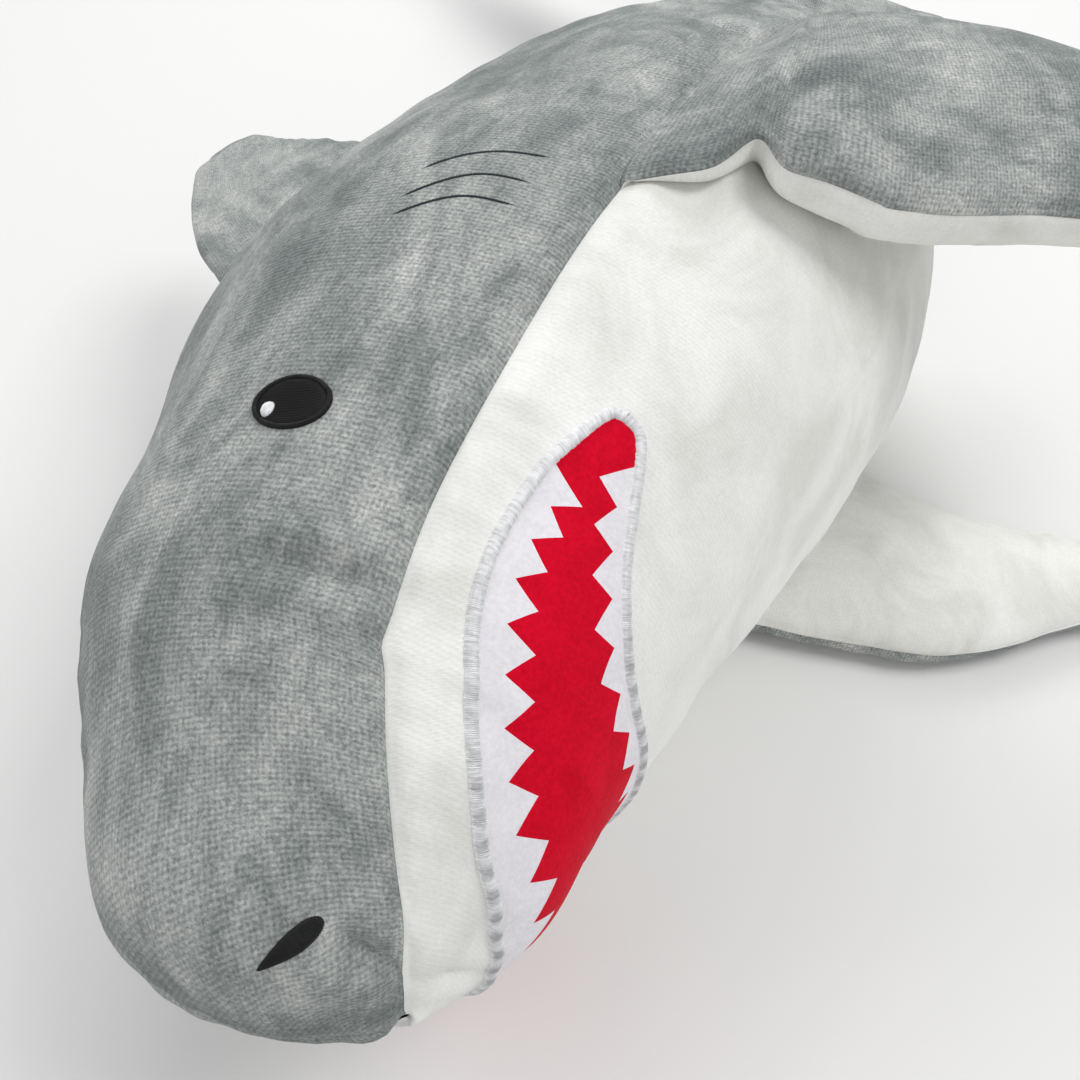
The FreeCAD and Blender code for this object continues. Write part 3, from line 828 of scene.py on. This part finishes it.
def rooted(rings, skin):
    """The left fin's rings carried on to the body, where they are sewn into its side seam."""
    line = skin[FAN_ROWS:, 0]
    girth = unit(skin[FAN_ROWS:, 1] - skin[FAN_ROWS:, -1])
    stations_along = to_shark(line)[:, 0]
    ring = rings.shape[1]
    angle = 2 * math.pi * np.arange(ring) / ring
    wanted = ROOT_FRONT + (1 - np.cos(angle)) / 2 * (ROOT_REAR - ROOT_FRONT)
    at = np.interp(wanted, stations_along, np.arange(len(line)))
    root = along(line, at) + ROOT_HALF * np.sin(angle)[:, None] * unit(along(girth, at))
    share = np.linspace(0, 1, ROOT_ROWS, endpoint=False)[:, None, None]
    rows = (1 - share) * root + share * rings[0]
    swell = np.sin(math.pi * share)
    full = ROOT_FULL * swell * np.sin(angle)[None, :, None]
    front = ((1 + np.cos(angle)) / 2)[None, :, None] ** 3
    notch = NOTCH_DEPTH * np.exp(-((share - NOTCH_AT) / NOTCH_SPAN) ** 2) * front
    valley = VALLEY_DEPTH * np.exp(-((share - VALLEY_AT) / VALLEY_SPAN) ** 2)
    valley = valley * np.exp(-((angle - VALLEY_ANGLE) / VALLEY_WIDTH) ** 2)[None, :, None]
    rows = rows + (full + ROOT_LIFT * swell * front - valley) * LEFT_FACE + notch * TAILWARD
    inside = root[None] - 5 * MM * LEFT
    return np.concatenate([inside, rows, rings])


GATHERS = ([(240, 21), (224, 23), (211, 26)], [(240, 92), (224, 86), (209, 80)])  # chord, out
GATHER_DEPTH, GATHER_WIDTH = 2.6 * MM, 5 * MM


def gathers(rings):
    """Two soft folds in the left fin's top, running from its edges towards its middle."""
    moved = rings
    for line in GATHERS:
        chord, out = (np.array(line, float) * MM).T
        fold = placed((out, chord, 12 * MM + 0 * out), hinge("left_pectoral_flex"), TAILWARD,
                      LEFT_OUT, LEFT_FACE, PECTORAL_MIDDLE, LEFT_SWEEP)
        gap, share = nearest_on_line(moved, fold)
        dent = -GATHER_DEPTH * np.exp(-(gap / GATHER_WIDTH) ** 2)
        dent = dent * np.sin(share * math.pi) ** 0.5
        moved = moved + dent[..., None] * LEFT_FACE
    return moved


def left_pectoral(skin):
    """The fin that stands out over the belly: grey on top, white below."""
    foot = hinge("left_pectoral_flex")
    rings = placed(fin_grid(LEFT_PECTORAL, 46, 56, under=0.42, belly=1.25), foot, TAILWARD,
                   LEFT_OUT, LEFT_FACE, PECTORAL_MIDDLE, LEFT_SWEEP)
    fin_panels("left_pectoral", ("top", "under"), (GREY, WHITE), gathers(rooted(rings, skin)),
               LEFT_FACE, 300,
               foot_rows=14)


def right_pectoral():
    """The fin on the floor, its white under side up and its foot below the body."""
    out_axis, chord_axis, face = np.eye(3)
    free = hinge("right_pectoral_flex")
    rings = placed(fin_grid(PECTORAL, 46, 56, under=0.6), free - RIGHT_PINNED * out_axis,
                   chord_axis, out_axis, face, PECTORAL_MIDDLE, RIGHT_SWEEP)
    fin_panels("right_pectoral", ("under", "top"), (WHITE, GREY), floored(rings)[12:], face, 340)


def dorsal():
    """The fin on the back, drooping to the lower side: grey on both faces."""
    chord_axis = unit(joints["dorsal_flex"]["axis"])
    out_axis = math.cos(DORSAL_DROOP) * UP - math.sin(DORSAL_DROOP) * LEFT
    out_axis = unit(out_axis - (out_axis @ chord_axis) * chord_axis)
    face = np.cross(chord_axis, out_axis)
    face = face * np.sign(face @ LEFT)
    foot = hinge("dorsal_flex") - DORSAL_FOOT * out_axis
    rings = placed(fin_grid(DORSAL, 30, 48), foot, chord_axis, out_axis, face, DORSAL_MIDDLE)
    rings[0] -= 8 * MM * out_axis
    fin_panels("dorsal", ("left", "right"), (GREY, GREY), rings, face, 380)


def caudal():
    """The upright tail fin, two lobes sewn to the end of the tail: grey on both faces."""
    rings = placed(fin_grid(CAUDAL, 84, 48, both_closed=True), SNOUT, TAILWARD, UP, LEFT)
    fin_panels("caudal", ("left", "right"), (GREY, GREY), rings, LEFT, 420)


# ---- embroidery

def sewn_on(piece, *nodes):
    """A piece that rides on the torso, in place of these CAD nodes if there are any."""
    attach(piece, "torso")
    if nodes:
        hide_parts(*nodes)


def met(tree, start, direction):
    """The skin's point that a ray from outside meets, and its normal, turned outwards."""
    place, normal, _, _ = tree.ray_cast(Vector(start), Vector(direction), FAR)
    normal = np.array(normal)
    return np.array(place), normal * -np.sign(normal @ direction)


def on_skin(tree, x, angle):
    """The point of the finished skin at a station and an angle round the body."""
    direction = ring_direction(angle)
    return met(tree, middle_at(x) + FAR * direction, -direction)


def side_point(tree, x, height, side=1):
    """The point of the finished skin seen from the side at that station and height."""
    return met(tree, to_row((x, side * FAR, height)), -side * LEFT)


def draped(tree, points, normal, height):
    """Points brought down on to the skin along a normal, then raised by their height."""
    result = np.zeros_like(points)
    raised = np.broadcast_to(height, points.shape[:-1])
    for index in np.ndindex(points.shape[:-1]):
        start = points[index] + 15 * MM * normal
        place = tree.ray_cast(Vector(start), Vector(-normal), 40 * MM)[0]
        base = np.array(place) if place is not None else points[index]
        result[index] = base + raised[index] * normal
    return result


SATIN_HIGH = 0.9 * MM     # how far a satin patch stands above the skin


def oval(place):
    """The half width of an oval along its length, from -1 to 1."""
    return np.sqrt(np.clip(1 - place ** 2, 0.0004, 1))


def satin_patch(name, tree, centre, normal, long_axis, half_long, half_wide, height, cloth,
                width_at=oval):
    """A filled shape of satin stitches that lie across its long axis, drawn on the skin."""
    across_axis = np.cross(normal, long_axis)
    threads = int(round(2 * half_long / THREAD))
    rows = 4 * threads + 1
    place = np.linspace(-1, 1, rows)
    share = np.linspace(-1, 1, 25)
    quarter = np.arange(rows) * math.pi / 2
    wide = np.maximum(half_wide * width_at(place) + 0.12 * MM * np.sin(quarter), 0.05 * MM)
    flat = (centre + (place * half_long)[:, None, None] * long_axis
            + (wide[:, None] * share)[..., None] * across_axis)
    crown = np.sqrt(np.clip(1 - share ** 4, 0, 1))[None, :]
    ends = np.sqrt(np.clip(1 - place ** 6, 0, 1))[:, None]
    strands = 0.12 * MM * np.cos(quarter)[:, None]
    lift = (height + strands) * crown * ends - 0.25 * MM * (1 - crown * ends)
    points = draped(tree, flat, normal, lift)
    return cloth_piece(name, points, normal, cloth,
                       ((place * half_long)[:, None], wide[:, None] * share))


def satin_band(name, places, normals, width, height, cloth, stitch=0.45 * MM, closed=False):
    """A raised line of slanted satin stitches along places on the skin."""
    walked = run_lengths(places, 0)
    count = int(walked[-1] / stitch) * 2
    number = np.arange(count)
    at = np.interp(np.linspace(0, walked[-1], count), walked, np.arange(len(places)))
    line, facing = along(places, at), unit(along(normals, at))
    heading = unit(np.gradient(line, axis=0))
    across_axis = unit(np.cross(facing, heading))
    share = np.linspace(-1, 1, 11)
    chance = np.random.default_rng(len(name))
    reach = width / 2 * (1 + 0.10 * chance.uniform(-1, 1, count))
    high = height * (1 + 0.28 * np.where(number % 2, 1, -1)
                     + 0.10 * chance.uniform(-1, 1, count))
    taper = np.ones(count)
    if not closed:
        from_end = np.minimum(number, number[::-1])
        taper = np.sin(np.clip(from_end / 8, 0.15, 1) * math.pi / 2)
    crown = np.sqrt(np.clip(1 - np.abs(share) ** 2.4, 0, 1))
    lift = (high * taper)[:, None] * crown - 0.3 * MM * (1 - crown)
    points = (line[:, None]
              + (reach * taper)[:, None, None] * share[:, None] * across_axis[:, None]
              + (0.35 * stitch * share)[None, :, None] * heading[:, None]
              + lift[..., None] * facing[:, None])
    return cloth_piece(name, points, facing[:, None], cloth,
                       (np.linspace(0, walked[-1], count)[:, None], reach[:, None] * share))


EYE_X = 102 * MM
EYE_ANGLE = math.radians(30)
EYE_HALF, EYE_ROUND = 6.6 * MM, 8.9 * MM      # half the eye, along the body and round it
RIM_OUTSIDE = 0.1 * MM
GLINT_AHEAD, GLINT_BELOW = 2.6 * MM, 4.6 * MM


def eye(tree, side):
    """A black satin oval with a stitched rim and a small white glint."""
    angle = EYE_ANGLE if side == "left" else math.pi - EYE_ANGLE
    centre, normal = on_skin(tree, EYE_X, angle)
    long_axis = unit(TAILWARD - (TAILWARD @ normal) * normal)
    round_axis = np.cross(normal, long_axis)
    sewn_on(satin_patch(f"eye_{side}_satin", tree, centre, normal, long_axis, EYE_HALF,
                        EYE_ROUND, SATIN_HIGH, BLACK), f"eye_{side}")
    turn = np.linspace(0, 2 * math.pi, 72)
    rim = (centre + (EYE_HALF + RIM_OUTSIDE) * np.cos(turn)[:, None] * long_axis
           + (EYE_ROUND + RIM_OUTSIDE) * np.sin(turn)[:, None] * round_axis)
    rim = draped(tree, rim, normal, 0.35 * MM)
    sewn_on(satin_band(f"eye_{side}_rim", rim, np.broadcast_to(normal, rim.shape), 1.3 * MM,
                       0.55 * MM, BLACK, closed=True))
    lower = 1 if side == "left" else -1
    spot = centre - GLINT_AHEAD * long_axis + lower * GLINT_BELOW * round_axis
    sewn_on(satin_patch(f"eye_{side}_glint", tree, spot, normal, round_axis, 1.7 * MM,
                        2.2 * MM, 1.5 * MM, GLINT), f"eye_glint_{side}")


def teardrop(place):
    """The half width of a teardrop from its point to its round end."""
    share = (place + 1) / 2
    return np.clip(1.28 * share ** 0.8 * np.sqrt(np.clip(1 - share ** 3.2, 0, 1)), 0.02, 1)


NOSTRIL_POINT = (5, 24, 12)
NOSTRIL_END = (15, 33, 5)


def nostril(tree, side):
    """A slanted black teardrop by the tip of the snout."""
    sign = 1 if side == "left" else -1
    start, end = (to_row(np.array([x, sign * left, up]) * MM)
                  for x, left, up in (NOSTRIL_POINT, NOSTRIL_END))
    middle = (start + end) / 2
    place, normal, _, _ = tree.find_nearest(Vector(middle))
    place, normal = np.array(place), np.array(normal)
    normal = normal * np.sign(normal @ (middle - middle_at(FAN_MIDDLE)))
    long_axis = unit(end - start - ((end - start) @ normal) * normal)
    sewn_on(satin_patch(f"nostril_{side}_satin", tree, place, normal, long_axis, 8.2 * MM,
                        3.0 * MM, SATIN_HIGH, BLACK, teardrop), f"nostril_{side}")


GILLS = [  # points tailward and up, in mm, seen from the side
    [(174.6, 55.6), (183, 43.9), (186.2, 27.5)],
    [(164.2, 56.6), (173.2, 43.1), (174.5, 29.3)],
    [(157.7, 56.6), (165.1, 43.5), (165.5, 29.9)],
]


def gills(tree, side):
    """Three thin stitched lines behind the eye."""
    sign = 1 if side == "left" else -1
    for number, line in enumerate(GILLS):
        line = along(np.array(line, float) * MM, np.linspace(0, len(line) - 1, 24))
        places, normals = np.swapaxes([side_point(tree, x, height, sign)
                                       for x, height in line], 0, 1)
        nodes = [] if number else [f"gill_stitches_{side}"]
        sewn_on(satin_band(f"gill_{side}_{number + 1}", places, normals, 0.9 * MM, 0.3 * MM,
                           DARK_THREAD, stitch=0.9 * MM), *nodes)


# The mouth's two edges on the left side, in mm tailward and up, from its rear corner down
# towards the chin; the right side mirrors them.
MOUTH_OUTER = [(125.2, -13), (123.6, -9), (113.3, -3.7), (102.9, 0.1), (83, 2.7), (67.5, -0.2),
               (54, -6.7), (42.5, -14.4), (33, -24.1)]
MOUTH_INNER = [(125.2, -13.4), (123.4, -17.6), (116.1, -20.6), (107, -23), (98.5, -25.7),
               (91, -29.4), (85, -33.5), (81, -38.2), (78.5, -45)]
OUTER_CHIN, INNER_CHIN = 26 * MM, 77 * MM
MOUTH_STEPS = 560
CHIN = -math.pi / 2
OUTER_CAP, INNER_CAP = 0.073, 0.052    # where the teeth start, as shares of the way round
OUTER_DEPTHS = (7.3 * MM, 14.3 * MM)   # from the border to a tooth's two ends
INNER_DEPTHS = (4.4 * MM, 10.0 * MM)


def mouth_edge(tree, edge, chin):
    """An edge of the mouth from corner to corner, as stations and angles round the body."""
    found = []
    for x, height in np.array(edge, float) * MM:
        arm = side_point(tree, x, height)[0] - middle_at(x)
        found.append((x, math.atan2(arm @ UP, arm @ LEFT)))
    found.append((chin, CHIN))
    line = np.array(found)
    line = np.vstack([line, line[-2::-1] * [1, -1] + [0, 2 * CHIN]])
    fine = along(line, np.linspace(0, len(line) - 1, 40 * len(line)))
    walked = run_lengths(np.array([on_skin(tree, *spot)[0] for spot in fine]), 0)
    even = np.linspace(0, walked[-1], MOUTH_STEPS + 1)
    return np.stack([np.interp(even, walked, fine[:, column]) for column in (0, 1)], -1)


def spaced(first, step, growth, count):
    """Places along an edge whose spacing grows steadily."""
    return [first + step * number + growth * number ** 2 for number in range(count)]


def outer_teeth():
    """Corners of the teeth on the outer edge of one side: share of the way, and depth."""
    corners = [(OUTER_CAP, 0.0)]
    valleys = [OUTER_CAP] + spaced(0.115, 0.0295, 0.0007, 12)
    for start, end in zip(valleys, valleys[1:]):
        lean = 0.88 - 0.86 * (2 * start) ** 2
        corners += [(start + lean * (end - start), OUTER_DEPTHS[1]), (end, OUTER_DEPTHS[0])]
    return corners


def inner_teeth():
    """Corners of the teeth on the inner edge of one side."""
    corners = [(INNER_CAP, 0.0)]
    for tip, valley in zip(spaced(0.077, 0.0445, 0.0006, 10), spaced(0.0995, 0.0425, 0.0005, 10)):
        corners += [(tip, INNER_DEPTHS[1]), (valley, INNER_DEPTHS[0])]
    return corners


def both_sides(corners):
    """Tooth corners of one side, trimmed at the chin and mirrored on the other."""
    near = [corner for corner in corners if corner[0] < 0.496]
    far = [(1 - share, depth) for share, depth in near[::-1]]
    return np.array(near + [(0.5, near[-1][1])] + far)


def mouth(tree):
    """The printed mouth, red between white teeth, and the satin border sewn round it."""
    outer = mouth_edge(tree, MOUTH_OUTER, OUTER_CHIN)
    inner = mouth_edge(tree, MOUTH_INNER, INNER_CHIN)
    upper, lower = both_sides(outer_teeth()), both_sides(inner_teeth())
    even = np.linspace(0, 1, MOUTH_STEPS + 1)
    shares = np.unique(np.round(np.concatenate([even, upper[:, 0], lower[:, 0]]), 5))
    outer_line, inner_line = along(outer, shares * MOUTH_STEPS), along(inner, shares * MOUTH_STEPS)
    wide = np.array([np.linalg.norm(on_skin(tree, *one)[0] - on_skin(tree, *two)[0])
                     for one, two in zip(outer_line, inner_line)]) * 1.04
    red_from = np.interp(shares, upper[:, 0], upper[:, 1], 0, 0) / wide
    red_to = 1 - np.interp(shares, lower[:, 0], lower[:, 1], 0, 0) / wide
    red_from = np.minimum(red_from, red_to - 0.02)
    jobs = ((0 * wide, red_from, 10, "mouth_upper_teeth", WHITE_PRINT, []),
            (red_from, red_to, 26, "mouth_red", RED_PRINT, ["mouth_print"]),
            (red_to, 1 + 0 * wide, 8, "mouth_lower_teeth", WHITE_PRINT, []))
    for start, end, count, name, cloth, nodes in jobs:
        across = start[:, None] + (end - start)[:, None] * np.linspace(0, 1, count)
        flat = outer_line[:, None] + across[..., None] * (inner_line - outer_line)[:, None]
        found = np.array([on_skin(tree, *spot) for spot in flat.reshape(-1, 2)])
        places, normals = np.swapaxes(found, 0, 1).reshape(2, *across.shape, 3)
        points = places + 0.45 * MM * normals
        length = run_lengths(points, 0).mean(axis=1, keepdims=True)
        sewn_on(cloth_piece(name, points, normals, cloth, (length, run_lengths(points, 1))),
                *nodes)
    loop = np.vstack([outer, inner[::-1], outer[:1]])
    places, normals = np.swapaxes([on_skin(tree, *spot) for spot in loop], 0, 1)
    sewn_on(satin_band("mouth_border", smooth(places, 3), unit(smooth(normals, 20)), 3.3 * MM,
                       1.2 * MM, SILVER, closed=True), "mouth_border_stitching")


# ---- stage

CAMERA_FROM_SNOUT = (0.0476, -0.0410)
CAMERA_HEIGHT = 0.325
CAMERA_HEADING = math.radians(10.98)
CAMERA_TILT = math.radians(38.83)
CAMERA_ROLL = math.radians(6.47)
CAMERA_LENS = 34.67       # mm, for a sensor 36 mm wide
FLOOR = 6.0               # half the floor's side, in metres
LIGHTS = (                # name, place, aim, watts, size
    ("key", (0.8, 0.1, 1.5), (0, -0.1, 0.1), 12, 0.8),
    ("fill", (-1.1, -0.7, 1.3), (0, -0.1, 0.1), 8, 1.4),
    ("front", (0.7, -1.6, 0.9), (0, -0.2, 0.1), 5, 1.4),
    ("back", (-0.5, 1.3, 1.5), (0, 0, 0.1), 18, 1.0))


def stage():
    """Pale floor, soft lights and the camera close over the snout."""
    mesh = bpy.data.meshes.new("floor")
    mesh.from_pydata([(-FLOOR, -FLOOR, 0), (FLOOR, -FLOOR, 0), (FLOOR, FLOOR, 0),
                      (-FLOOR, FLOOR, 0)], [], [(0, 1, 2, 3)])
    mesh.materials.append(shader("pale floor", (0.78, 0.775, 0.76), 0.7)[0])
    linked("floor", mesh)
    world = bpy.data.worlds.new("studio")
    world.use_nodes = True
    background = world.node_tree.nodes["Background"]
    background.inputs["Color"].default_value = (0.95, 0.97, 1.0, 1)
    background.inputs["Strength"].default_value = 0.42
    bpy.context.scene.world = world
    for name, place, aim, energy, size in LIGHTS:
        data = bpy.data.lights.new(name, "AREA")
        data.energy = energy
        data.size = size
        light = linked(name, data)
        light.location = place
        light.rotation_euler = (Vector(aim) - Vector(place)).to_track_quat("-Z", "Y").to_euler()
    camera = linked("camera", bpy.data.cameras.new("camera"))
    camera.data.sensor_width = 36
    camera.data.lens = CAMERA_LENS
    turn = (Matrix.Rotation(CAMERA_HEADING, 4, "Z") @ Matrix.Rotation(CAMERA_TILT, 4, "X")
            @ Matrix.Rotation(CAMERA_ROLL, 4, "Z"))
    place = (SNOUT[0] + CAMERA_FROM_SNOUT[0], SNOUT[1] + CAMERA_FROM_SNOUT[1], CAMERA_HEIGHT)
    camera.matrix_world = Matrix.Translation(place) @ turn
    bpy.context.scene.camera = camera
    bpy.context.scene.view_settings.view_transform = "Standard"


# ---- making it all

skin = body_skin()
held = np.zeros(skin.shape[:2], bool)
held[:, [0, BACK_COLUMNS, 2 * BACK_COLUMNS]] = True
held[:2] = held[-2:] = True
skin = inflate(skin, held, 0.005, 3 * MM)
body_tree = surface_tree(body_panels(skin))
left_pectoral(skin)
right_pectoral()
dorsal()
caudal()
stage()
mouth(body_tree)
for side in ("left", "right"):
    eye(body_tree, side)
    nostril(body_tree, side)
    gills(body_tree, side)
